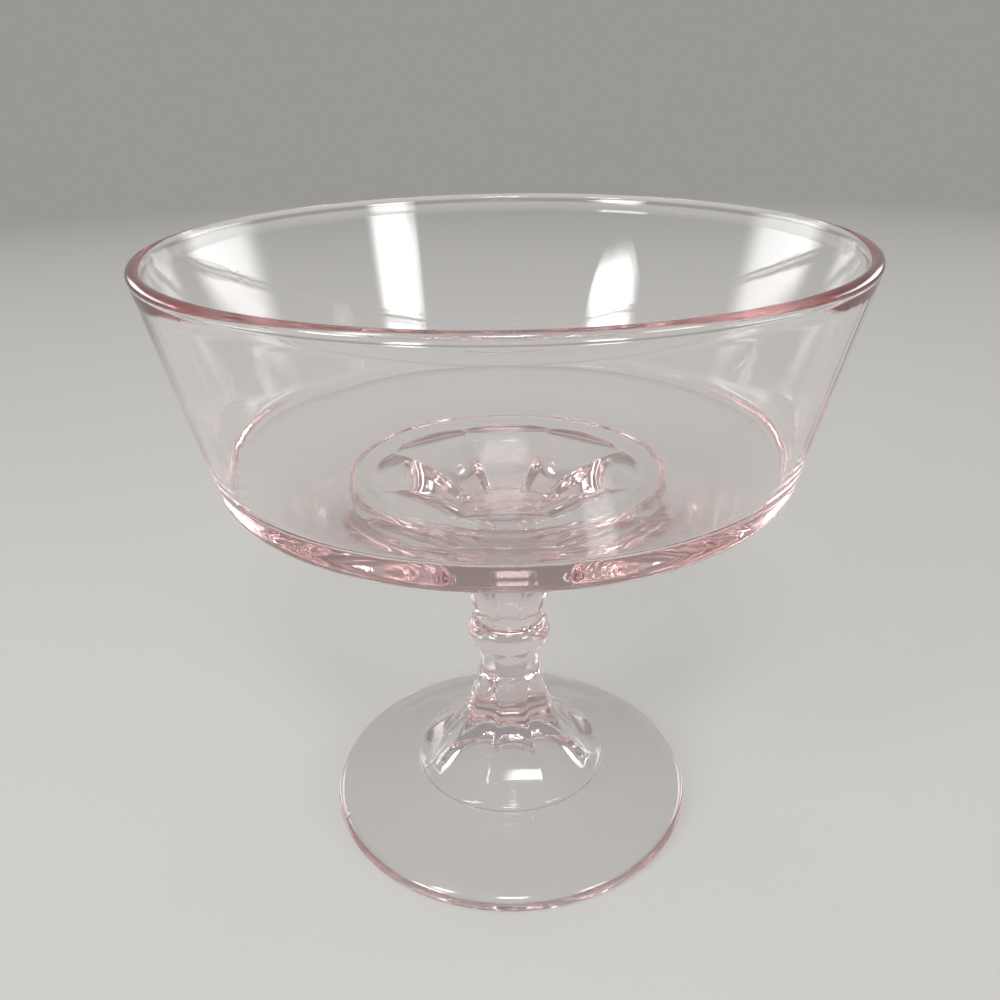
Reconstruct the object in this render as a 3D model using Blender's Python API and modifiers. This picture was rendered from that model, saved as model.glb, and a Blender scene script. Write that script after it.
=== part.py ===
"""Footed glass compote: a pressed bowl and a pressed standard, joined by a round knop.

All lengths are in metres, +Z is up and the foot stands on z = 0. The object's axis is the Z axis and its
front faces -Y. Profiles are lists of (radius, height) points that run from the axis at the top, down the
outside of a piece and back to the axis below it.
"""

import math

import bmesh
import bpy

# Bowl
RIM_DIAMETER = 0.2032
BOWL_HEIGHT = 0.0665
RIM_ROUND = 0.0018
RIM_BEAD = 0.0004
WALL_LEAN = math.radians(13.8)
WALL_AT_FLOOR = 0.0040
BASE_THICKNESS = 0.0081
FLOOR_DISH = 0.0100
BASE_ROUND_HEIGHT = 0.0050
BASE_ROUND_WIDTH = 0.0042

# Underside of the bowl: a shallow cone down to a ring, then the fluted neck
UNDERSIDE_DROP = 0.0093
RING_DIAMETER = 0.0984
RING_STEP = 0.0033
RING_ROUND = 0.0014
RING_FACE_ANGLE = math.radians(8.0)
SCALLOP_INSET = 0.0050
SCOOP_RISE = 0.0007
SCOOP_CREST = 0.78
NECK_HEIGHT = 0.0557
NECK_ACROSS_FLATS = 0.0208
NECK_FLUTE_TURN = math.radians(-1.0)

# Knop
KNOP_HEIGHT = 0.0105
KNOP_OVERHANG = 0.0037

# Standard: fluted pedestal, round lip and hollow foot
STANDARD_HEIGHT = 0.0597
SHAFT_STRAIGHT = 0.0030
SHAFT_ACROSS_FLATS = 0.0199
SHAFT_FLUTE_TURN = math.radians(3.0)
LIP_DIAMETER = 0.0654
LIP_HEIGHT = 0.0170
LIP_ROUND_WIDTH = 0.0022
LIP_ROUND_HEIGHT = 0.0025
LIP_TOP_ANGLE = math.radians(60.0)
LIP_UNDERCUT = math.radians(20.0)
FLUTE_FOOT_INSET = 0.0019
FLUTE_FOOT_DROP = 0.00085
FOOT_DIAMETER = 0.1236
FOOT_SHOULDER_HEIGHT = 0.0068
FOOT_EQUATOR_HEIGHT = 0.0030
FOOT_ROUND_WIDTH = 0.0046
REST_ROUND_WIDTH = 0.0024
REST_RING_WIDTH = 0.0030
HOLLOW_HEIGHT = 0.0240
HOLLOW_WALL = 0.0066

# Flutes and the fused joints
FLUTE_COUNT = 8
FLUTE_ALLOWANCE = 0.0014
FUSED_JOINT_GAP = 0.0003
CUTTER_MARGIN = 0.0100

# Curves: how far their ends pull them. A flare's pulls are shares of the way from its narrow end to its wide
# end, first outwards and then along the axis.
NECK_FLUTE_NARROW_PULL = (0.115, 0.37)
NECK_FLUTE_WIDE_PULL = (0.54, 1.0)
SCOOP_CREST_PULL = (0.40, 0.0)
SCOOP_EDGE_PULL = (0.70, 0.40)
NECK_BODY_NARROW_PULL = (0.14, 0.45)
NECK_BODY_WIDE_PULL = 0.40
SHAFT_FLUTE_NARROW_PULL = (0.0, 0.40)
SHAFT_FLUTE_WIDE_PULL = (0.29, 0.85)
SHAFT_BODY_NARROW_PULL = (0.0, 0.40)
SHAFT_BODY_WIDE_PULL = (0.37, 0.86)
HOLLOW_CONE_PULL = 0.36
HOLLOW_DOME_PULL = 0.40
BASE_ROUND_PULL = 0.62

# Fineness
BOWL_STEPS = 96
STEM_STEPS = 80
CURVE_POINTS = 12
ROUND_POINTS = 5
MERGE_DISTANCE = 0.00005

# Glass
GLASS_COLOUR = (0.93, 0.84, 0.85, 1.0)
GLASS_ROUGHNESS = 0.04
GLASS_IOR = 1.52

# Places worked out from the sizes
KNOP_BOTTOM = STANDARD_HEIGHT + FUSED_JOINT_GAP
KNOP_TOP = KNOP_BOTTOM + KNOP_HEIGHT
NECK_BOTTOM = KNOP_TOP + FUSED_JOINT_GAP
BASE_BOTTOM = NECK_BOTTOM + NECK_HEIGHT
RIM_TOP = BASE_BOTTOM + BOWL_HEIGHT
RING_TOP = BASE_BOTTOM - UNDERSIDE_DROP
RING_FACE = RING_TOP - RING_STEP
RING_RADIUS = RING_DIAMETER / 2
NECK_FLAT = NECK_ACROSS_FLATS / 2
SHAFT_FLAT = SHAFT_ACROSS_FLATS / 2
LIP_RADIUS = LIP_DIAMETER / 2
FOOT_RADIUS = FOOT_DIAMETER / 2
HALF_FLUTE = math.pi / FLUTE_COUNT
RIDGE_RATIO = 1.0 / math.cos(HALF_FLUTE)


def bezier(start, start_pull, end_pull, end, count=CURVE_POINTS):
    """Points of a cubic curve, both ends included."""
    points = []
    for step in range(count + 1):
        t = step / count
        weights = ((1 - t) ** 3, 3 * t * (1 - t) ** 2, 3 * t * t * (1 - t), t**3)
        knots = (start, start_pull, end_pull, end)
        radius = sum(weight * knot[0] for weight, knot in zip(weights, knots))
        height = sum(weight * knot[1] for weight, knot in zip(weights, knots))
        points.append((radius, height))
    return points


def arc(centre, width, height, start_angle, end_angle):
    """Points of an elliptical arc with the given half width and half height, both ends included."""
    points = []
    for step in range(ROUND_POINTS + 1):
        angle = start_angle + (end_angle - start_angle) * step / ROUND_POINTS
        points.append((centre[0] + width * math.cos(angle), centre[1] + height * math.sin(angle)))
    return points


def share(low, high, part):
    """The point at a share of the way from low to high."""
    return low + (high - low) * part


def flare(narrow, wide, narrow_pull, wide_pull):
    """Points of a trumpet's curve from its narrow end to its wide end."""
    knots = []
    for pull in (narrow_pull, wide_pull):
        knots.append((share(narrow[0], wide[0], pull[0]), share(narrow[1], wide[1], pull[1])))
    return bezier(narrow, knots[0], knots[1], wide)


def wall_radius(height):
    """Outer radius of the bowl's straight wall at a height."""
    bead_bottom = RIM_TOP - 2 * RIM_ROUND
    return RIM_DIAMETER / 2 - RIM_BEAD - (bead_bottom - height) * math.tan(WALL_LEAN)


def ring_face_height(radius):
    """Height of the sloping face inside the ring, at a radius."""
    edge = RING_RADIUS - RING_ROUND
    return RING_FACE - (edge - radius) * math.tan(RING_FACE_ANGLE)


def foot_top_height(radius):
    """Height of the foot's sloping top at a radius, on a line from the lip to the shoulder."""
    shoulder = FOOT_RADIUS - FOOT_ROUND_WIDTH
    lip_foot = LIP_HEIGHT - LIP_ROUND_HEIGHT - LIP_ROUND_HEIGHT * math.sin(LIP_UNDERCUT)
    return share(lip_foot, FOOT_SHOULDER_HEIGHT, (radius - LIP_RADIUS) / (shoulder - LIP_RADIUS))


def bowl_profile():
    """Inside, rim, wall, base, ring and the round body of the neck before its flutes are cut."""
    corner_height = BASE_BOTTOM + BASE_THICKNESS
    corner_radius = wall_radius(corner_height) - WALL_AT_FLOOR
    floor = []
    for step in range(CURVE_POINTS):
        part = step / CURVE_POINTS
        floor.append((corner_radius * part, corner_height - FLOOR_DISH * (1 - part**2)))
    floor.append((corner_radius, corner_height))
    rim_centre = (RIM_DIAMETER / 2 - RIM_ROUND, RIM_TOP - RIM_ROUND)
    rim = arc(rim_centre, RIM_ROUND, RIM_ROUND, math.pi, -math.pi / 4)
    bead_bottom = RIM_TOP - 2 * RIM_ROUND
    wall_top = (wall_radius(bead_bottom), bead_bottom)
    base_top_height = BASE_BOTTOM + BASE_ROUND_HEIGHT
    base_top = (wall_radius(base_top_height), base_top_height)
    base_pull_height = base_top_height - BASE_ROUND_PULL * BASE_ROUND_HEIGHT
    base_pull = (wall_radius(base_pull_height), base_pull_height)
    base_end = (base_top[0] - BASE_ROUND_WIDTH, BASE_BOTTOM)
    base_end_pull = (base_end[0] + BASE_ROUND_PULL * BASE_ROUND_WIDTH, BASE_BOTTOM)
    base = bezier(base_top, base_pull, base_end_pull, base_end, ROUND_POINTS)
    ring = [(RING_RADIUS, RING_TOP)]
    ring += arc((RING_RADIUS - RING_ROUND, RING_FACE + RING_ROUND), RING_ROUND, RING_ROUND, 0.0, -math.pi / 2)
    face_edge = ring[-1]
    neck_end = (NECK_FLAT * RIDGE_RATIO + FLUTE_ALLOWANCE, NECK_BOTTOM)
    pull_radius = share(neck_end[0], face_edge[0], NECK_BODY_WIDE_PULL)
    pull_rise = (ring_face_height(pull_radius) - NECK_BOTTOM) / (RING_FACE - NECK_BOTTOM)
    neck = flare(neck_end, face_edge, NECK_BODY_NARROW_PULL, (NECK_BODY_WIDE_PULL, pull_rise))
    neck.reverse()
    return floor + rim + [wall_top] + base + ring + neck[1:] + [(0.0, NECK_BOTTOM)]


def neck_flutes_profile():
    """Eight-sided envelope of the neck: its sides are the flutes, scooped at the top, and it clears the bowl."""
    top_radius = RING_RADIUS - RING_ROUND - SCALLOP_INSET
    top = (top_radius, ring_face_height(top_radius))
    end = (NECK_FLAT, NECK_BOTTOM)
    crest = (share(NECK_FLAT, top_radius, SCOOP_CREST), top[1] + SCOOP_RISE)
    flank = flare(end, crest, NECK_FLUTE_NARROW_PULL, NECK_FLUTE_WIDE_PULL)
    flutes = flank + flare(crest, top, SCOOP_CREST_PULL, SCOOP_EDGE_PULL)[1:]
    flutes.reverse()
    flutes.append((NECK_FLAT, NECK_BOTTOM - CUTTER_MARGIN))
    clear = RIM_DIAMETER / 2 + CUTTER_MARGIN
    outer = [(0.0, RIM_TOP + CUTTER_MARGIN), (clear, RIM_TOP + CUTTER_MARGIN), (clear, top[1])]
    across = [(distance * RIDGE_RATIO, height) for distance, height in outer + flutes]
    return across + [(0.0, NECK_BOTTOM - CUTTER_MARGIN)]


def knop_profile():
    """Round wafer that seats on the flats of the shaft and carries those of the neck."""
    middle = (min(SHAFT_FLAT, NECK_FLAT), (KNOP_BOTTOM + KNOP_TOP) / 2)
    upper = arc(middle, KNOP_OVERHANG, KNOP_HEIGHT / 2, math.pi / 2, 0.0)
    lower = arc(middle, KNOP_OVERHANG, KNOP_HEIGHT / 2, 0.0, -math.pi / 2)
    return [(0.0, KNOP_TOP)] + upper + lower[1:] + [(0.0, KNOP_BOTTOM)]


def standard_profile():
    """Round body of the pedestal before its flutes are cut, the lip, the foot and the hollow under it."""
    shaft_top = (SHAFT_FLAT * RIDGE_RATIO + FLUTE_ALLOWANCE, STANDARD_HEIGHT)
    lip_centre = (LIP_RADIUS - LIP_ROUND_WIDTH, LIP_HEIGHT - LIP_ROUND_HEIGHT)
    lip = arc(lip_centre, LIP_ROUND_WIDTH, LIP_ROUND_HEIGHT, LIP_TOP_ANGLE, -LIP_UNDERCUT)
    shaft = flare(shaft_top, lip[0], SHAFT_BODY_NARROW_PULL, SHAFT_BODY_WIDE_PULL)
    shoulder_centre = (FOOT_RADIUS - FOOT_ROUND_WIDTH, FOOT_EQUATOR_HEIGHT)
    shoulder_rise = FOOT_SHOULDER_HEIGHT - FOOT_EQUATOR_HEIGHT
    shoulder = arc(shoulder_centre, FOOT_ROUND_WIDTH, shoulder_rise, math.pi / 2, 0.0)
    rest_centre = (FOOT_RADIUS - REST_ROUND_WIDTH, FOOT_EQUATOR_HEIGHT)
    rest = arc(rest_centre, REST_ROUND_WIDTH, FOOT_EQUATOR_HEIGHT, 0.0, -math.pi / 2)
    rest_inner = rest_centre[0] - REST_RING_WIDTH
    cone_end = (LIP_RADIUS, foot_top_height(LIP_RADIUS) - HOLLOW_WALL)
    cone_slope = cone_end[1] / (rest_inner - cone_end[0])
    cone_run = cone_end[0] * HOLLOW_CONE_PULL
    cone_pull = (cone_end[0] - cone_run, cone_end[1] + cone_slope * cone_run)
    dome_pull = (cone_end[0] * HOLLOW_DOME_PULL, HOLLOW_HEIGHT)
    hollow = bezier(cone_end, cone_pull, dome_pull, (0.0, HOLLOW_HEIGHT))
    outside = [(0.0, STANDARD_HEIGHT)] + shaft + lip[1:] + shoulder + rest[1:]
    return outside + [(rest_inner, 0.0)] + hollow


def shaft_flutes_profile():
    """Eight-sided envelope of the pedestal: its flat sides are the flutes, and it clears the foot below."""
    straight_end = (SHAFT_FLAT, STANDARD_HEIGHT - SHAFT_STRAIGHT)
    end = (LIP_RADIUS - FLUTE_FOOT_INSET, LIP_HEIGHT - FLUTE_FOOT_DROP)
    top = STANDARD_HEIGHT + CUTTER_MARGIN
    clear = FOOT_RADIUS + CUTTER_MARGIN
    flutes = [(SHAFT_FLAT, top)] + flare(straight_end, end, SHAFT_FLUTE_NARROW_PULL, SHAFT_FLUTE_WIDE_PULL)
    outer = [(clear, end[1]), (clear, -CUTTER_MARGIN)]
    across = [(distance * RIDGE_RATIO, height) for distance, height in flutes + outer]
    return [(0.0, top)] + across + [(0.0, -CUTTER_MARGIN)]


def new_collection(name):
    """An empty collection linked to the scene."""
    collection = bpy.data.collections.new(name)
    bpy.context.scene.collection.children.link(collection)
    return collection


def turned(name, profile, steps, collection, smooth=True):
    """A closed body turned around Z from a profile."""
    mesh = bpy.data.meshes.new(name)
    outline = bmesh.new()
    knots = [outline.verts.new((radius, 0.0, height)) for radius, height in profile]
    for upper, lower in zip(knots, knots[1:]):
        outline.edges.new((upper, lower))
    outline.to_mesh(mesh)
    outline.free()
    body = bpy.data.objects.new(name, mesh)
    collection.objects.link(body)
    screw = body.modifiers.new("Turn", "SCREW")
    screw.axis = "Z"
    screw.steps = steps
    screw.render_steps = steps
    screw.use_merge_vertices = True
    screw.merge_threshold = MERGE_DISTANCE
    screw.use_smooth_shade = smooth
    return body


def flute(body, profile, turn, cutters):
    """Cuts a turned body back to an eight-sided envelope whose flat sides face the front, then turn."""
    envelope = turned(body.name + "_flutes", profile, FLUTE_COUNT, cutters, smooth=False)
    envelope.rotation_euler.z = HALF_FLUTE + turn
    envelope.hide_render = True
    envelope.display_type = "WIRE"
    cut = body.modifiers.new("Flutes", "BOOLEAN")
    cut.operation = "INTERSECT"
    cut.object = envelope


def glass(name):
    """Clear pressed glass with a faint pink tint."""
    material = bpy.data.materials.new(name)
    material.use_nodes = True
    shader = material.node_tree.nodes["Principled BSDF"]
    shader.inputs["Base Color"].default_value = GLASS_COLOUR
    shader.inputs["Roughness"].default_value = GLASS_ROUGHNESS
    shader.inputs["Metallic"].default_value = 0.0
    shader.inputs["IOR"].default_value = GLASS_IOR
    shader.inputs["Transmission Weight"].default_value = 1.0
    return material


def main():
    """Builds the three pieces of glass."""
    for item in list(bpy.data.objects):
        bpy.data.objects.remove(item)
    pieces = new_collection("Footed compote")
    cutters = new_collection("Cutters")
    bowl = turned("bowl", bowl_profile(), BOWL_STEPS, pieces)
    flute(bowl, neck_flutes_profile(), NECK_FLUTE_TURN, cutters)
    knop = turned("knop", knop_profile(), STEM_STEPS, pieces)
    standard = turned("standard", standard_profile(), STEM_STEPS, pieces)
    flute(standard, shaft_flutes_profile(), SHAFT_FLUTE_TURN, cutters)
    for piece in (bowl, knop, standard):
        piece.data.materials.append(glass(piece.name + "_glass"))


main()
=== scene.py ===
"""Looks of the footed compote: one body of pressed glass on a plain pale studio floor.

The bowl, knop and standard are fused hot on the real object, so light passes from one to the next with no
surface between them. They are therefore one closed mesh here, which stands for all three CAD nodes. Lengths
in the classes are in millimetres, with +Z up from the floor, and become metres where a mesh is made. Only
the lamps are given in metres.
"""

import logging
import math
from dataclasses import dataclass
from enum import Enum

import bmesh
import bpy
import numpy as np
from mathutils import Matrix, Vector


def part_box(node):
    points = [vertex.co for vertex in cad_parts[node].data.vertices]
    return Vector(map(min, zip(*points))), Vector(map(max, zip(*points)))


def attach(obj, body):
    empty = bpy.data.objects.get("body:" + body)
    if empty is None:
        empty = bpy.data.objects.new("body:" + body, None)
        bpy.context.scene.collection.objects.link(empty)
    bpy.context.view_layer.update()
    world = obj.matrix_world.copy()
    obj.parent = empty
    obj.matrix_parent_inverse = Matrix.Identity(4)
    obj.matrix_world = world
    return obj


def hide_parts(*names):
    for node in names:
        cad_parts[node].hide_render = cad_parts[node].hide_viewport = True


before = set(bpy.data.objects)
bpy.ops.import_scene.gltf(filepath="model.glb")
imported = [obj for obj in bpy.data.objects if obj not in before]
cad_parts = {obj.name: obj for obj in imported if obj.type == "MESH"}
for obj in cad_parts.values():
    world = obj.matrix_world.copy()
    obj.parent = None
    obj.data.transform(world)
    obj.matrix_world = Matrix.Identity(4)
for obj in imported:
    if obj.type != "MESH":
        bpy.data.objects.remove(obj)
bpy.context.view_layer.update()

BODY = "root"
MM = 0.001
CUBIC_CM = 1e-6

FLUTES = 8
HALF_FLUTE = math.pi / FLUTES

WHITE = "#FFFFFF"
# Strength of a mark at its full size.
FULL = 1.0
# Middle of a noise's range, and of a lamp's width and height.
MIDDLE = 0.5
# Factors that keep the level part of a place and drop its height.
LEVEL = (1.0, 1.0, 0.0)

Point = tuple[float, float]
Tree = bpy.types.NodeTree
Sockets = bpy.types.bpy_prop_collection
Source = bpy.types.NodeSocket | bpy.types.Node

log = logging.getLogger("compote")


class Mark(Enum):
    """Marks that a vertex can carry, each a named attribute on the mesh."""

    WAVE = "press_wave"
    SEAM = "mould_seam"
    STREAK = "streaks"
    WEAR = "wear"


class LampShape(Enum):
    """Outlines that a lamp can have."""

    RECTANGLE = "RECTANGLE"
    ELLIPSE = "ELLIPSE"


def linear(hex_colour: str) -> tuple[float, float, float, float]:
    """Turns an sRGB hex colour into linear red, green and blue.

    Args:
        hex_colour: six hex digits after a number sign.

    Returns:
        The linear colour with an alpha of one.
    """
    values = [int(hex_colour[place : place + 2], 16) / 255 for place in (1, 3, 5)]
    channels = [v / 12.92 if v <= 0.04045 else ((v + 0.055) / 1.055) ** 2.4 for v in values]
    return (*channels, 1.0)


def add_node(tree: Tree, kind: str, inputs: dict | None = None, **settings: object) -> bpy.types.Node:
    """Adds a node with its settings, and links or sets its inputs.

    Args:
        tree: the node tree that gets the node.
        kind: Blender's name for the node's type.
        inputs: values, sockets or nodes by input name or number. A node stands for its first output.
        settings: attributes of the node.

    Returns:
        The new node.
    """
    node = tree.nodes.new(kind)
    for name, value in settings.items():
        setattr(node, name, value)
    for key, value in (inputs or {}).items():
        if isinstance(value, bpy.types.Node):
            value = value.outputs[0]
        if isinstance(value, bpy.types.NodeSocket):
            tree.links.new(value, node.inputs[key])
        else:
            node.inputs[key].default_value = value
    return node


def bezier(start: Point, start_pull: Point, end_pull: Point, end: Point, count: int) -> np.ndarray:
    """Points of a cubic curve.

    Args:
        start, start_pull, end_pull, end: the curve's knots as (radius, height).
        count: number of steps along it.

    Returns:
        count + 1 points, both ends included.
    """
    t = np.linspace(0.0, 1.0, count + 1)[:, None]
    knots = np.array([start, start_pull, end_pull, end], float)
    weights = np.hstack([(1 - t) ** 3, 3 * t * (1 - t) ** 2, 3 * t * t * (1 - t), t**3])
    return weights @ knots


def arc(centre: Point, width: float, height: float, start: float, end: float, count: int) -> np.ndarray:
    """Points of an elliptical arc.

    Args:
        centre: its centre as (radius, height).
        width, height: its half width and half height.
        start, end: its end angles in degrees, from straight outwards, counted towards the top.
        count: number of steps along it.

    Returns:
        count + 1 points, both ends included.
    """
    angle = np.radians(np.linspace(start, end, count + 1))
    return np.column_stack([centre[0] + width * np.cos(angle), centre[1] + height * np.sin(angle)])


def line(start: Point, end: Point, count: int) -> np.ndarray:
    """count + 1 even points of a straight line, both ends included."""
    return np.linspace(np.asarray(start, float), np.asarray(end, float), count + 1)


def soften(before: Point, corner: Point, after: Point, reach: float, count: int) -> np.ndarray:
    """Points of a rounded corner.

    Args:
        before, after: points that the corner's two sides come from and go to.
        corner: the sharp corner.
        reach: how far from the corner the rounding starts.
        count: number of steps along it.

    Returns:
        count + 1 points, from the first side to the second.
    """
    corner_at = np.asarray(corner, float)
    ends = []
    for side in (before, after):
        way = np.asarray(side, float) - corner_at
        ends.append(corner_at + way * reach / np.linalg.norm(way))
    t = np.linspace(0.0, 1.0, count + 1)[:, None]
    return (1 - t) ** 2 * ends[0] + 2 * t * (1 - t) * corner_at + t * t * ends[1]


def spaced(points: np.ndarray, count: int) -> np.ndarray:
    """Points spread evenly along a fine outline.

    Args:
        points: the outline.
        count: number of steps wanted.

    Returns:
        count + 1 points, both ends included.
    """
    steps = np.linalg.norm(np.diff(points, axis=0), axis=1)
    way = np.concatenate([[0.0], np.cumsum(steps)])
    places = np.linspace(0.0, way[-1], count + 1)
    return np.column_stack([np.interp(places, way, points[:, axis]) for axis in (0, 1)])


def share(low: float, high: float, part: float) -> float:
    """The value at a share of the way from low to high."""
    return low + (high - low) * part


def between(start: Point, end: Point, parts: Point) -> Point:
    """The point at two shares of the way from start to end, one for each axis."""
    return share(start[0], end[0], parts[0]), share(start[1], end[1], parts[1])


@dataclass
class Strip:
    """Rows of the wedge from one stretch of the outline: radius and height by row and column."""

    radius: np.ndarray
    height: np.ndarray
    turn: np.ndarray
    marks: dict[Mark, float]

    @classmethod
    def turned(
        cls, points: np.ndarray, columns: np.ndarray, turn: float, marks: dict[Mark, float] | None = None
    ) -> "Strip":
        """A round stretch.

        Args:
            points: its outline as (radius, height).
            columns: the wedge's column angles.
            turn: how far its columns are turned, in radians.
            marks: strength of each mark on it.

        Returns:
            The strip.
        """
        across = np.ones(len(columns))
        turns = np.full(len(points), turn)
        return cls(np.outer(points[:, 0], across), np.outer(points[:, 1], across), turns, marks or {})


@dataclass(frozen=True)
class Wedge:
    """Column angles of one flute's wedge, from ridge to ridge. They close up at ridges and at the seam."""

    steps: int = 24
    ridge_steps: tuple[float, ...] = (0.30, 0.90)
    seam: float = 20.0
    seam_step: float = 0.25
    seam_clear: float = 0.95

    def columns(self) -> np.ndarray:
        """Column angles of the wedge.

        Returns:
            The angles in radians, in order.
        """
        half = math.degrees(HALF_FLUTE)
        even = np.linspace(-half, half, self.steps + 1)
        even = even[np.abs(even - self.seam) > self.seam_clear]
        extra = [side * (half - step) for side in (-1, 1) for step in self.ridge_steps]
        extra += [self.seam - self.seam_step, self.seam, self.seam + self.seam_step]
        return np.radians(np.unique(np.concatenate([even, extra])))


@dataclass(frozen=True)
class Flutes:
    """Eight flat sides around a flaring stretch, cut into a round body.

    Rays from the focus, a point outside the glass in the flare's hollow, place the rows. The rounding of
    the ridges and the hollow of the sides each go from a first to a last value along a side.
    """

    focus: Point
    ridges: Point
    hollows: Point
    blend: float

    def section(self, flat: np.ndarray, column: float) -> np.ndarray:
        """Radius of an eight-sided section with rounded ridges.

        Args:
            flat: distance of the flat sides from the axis.
            column: angle from the middle of a side.

        Returns:
            The radius at that angle for each flat.
        """
        from_ridge = HALF_FLUTE - abs(column)
        ridge = np.linspace(*self.ridges, len(flat))
        centre = (flat - ridge) / math.cos(HALF_FLUTE)
        reach = centre * math.sin(from_ridge)
        corner = centre * math.cos(from_ridge) + np.sqrt(np.maximum(ridge**2 - reach**2, 0.0))
        along = centre + ridge * math.cos(HALF_FLUTE)
        tangent = np.arctan2(ridge * math.sin(HALF_FLUTE), along)
        return np.where(from_ridge < tangent, corner, flat / math.cos(column))

    def hollowed(self, panel: np.ndarray, column: float) -> np.ndarray:
        """Outline of a side at a column: the sides are slightly hollow, so they rise towards the ridges.

        Args:
            panel: outline of the middle of a side, as (distance from the axis, height).
            column: angle from the middle of a side.

        Returns:
            The outline at that angle.
        """
        aside = math.tan(column) / math.tan(HALF_FLUTE)
        along = np.gradient(panel, axis=0)
        outward = np.column_stack([-along[:, 1], along[:, 0]]) / np.linalg.norm(along, axis=1)[:, None]
        depth = np.linspace(*self.hollows, len(panel))
        return panel + outward * (depth * aside**2)[:, None]

    def polar(self, radius: np.ndarray, height: np.ndarray) -> tuple[np.ndarray, np.ndarray]:
        """Where points lie, seen from the focus.

        Args:
            radius, height: the points.

        Returns:
            Their angles, and their distances.
        """
        out = radius - self.focus[0]
        rise = height - self.focus[1]
        return np.arctan2(rise, out) % (2 * math.pi), np.hypot(out, rise)

    def strip(
        self,
        body: np.ndarray,
        panel: np.ndarray,
        columns: np.ndarray,
        turn: float,
        count: int,
        marks: dict[Mark, float],
    ) -> Strip:
        """Rows of the flare where each side is cut back to the nearer of body and flat.

        Args:
            body: outline of the round body, as (radius, height).
            panel: outline of a flat side, as (distance from the axis, height).
            columns: the wedge's column angles.
            turn: how far the flutes are turned, in radians.
            count: number of steps along the flare.
            marks: strength of each mark on it.

        Returns:
            The strip.
        """
        body_angle, body_way = self.polar(*body.T)
        rays, _ = self.polar(*spaced(body, count).T)
        ways = np.empty((count + 1, len(columns)))
        body_reach = np.interp(rays, body_angle, body_way)
        for place, column in enumerate(columns):
            side = self.hollowed(panel, column)
            angle, way = self.polar(self.section(side[:, 0], column), side[:, 1])
            panel_reach = np.interp(rays, angle, way)
            # The two surfaces meet in a soft edge as wide as the blend.
            mix = np.clip(0.5 + 0.5 * (panel_reach - body_reach) / self.blend, 0.0, 1.0)
            ways[:, place] = share(body_reach, panel_reach, mix) + self.blend * mix * (1 - mix)
        radius = self.focus[0] + ways * np.cos(rays)[:, None]
        height = self.focus[1] + ways * np.sin(rays)[:, None]
        return Strip(radius, height, np.full(count + 1, turn), marks)


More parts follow.
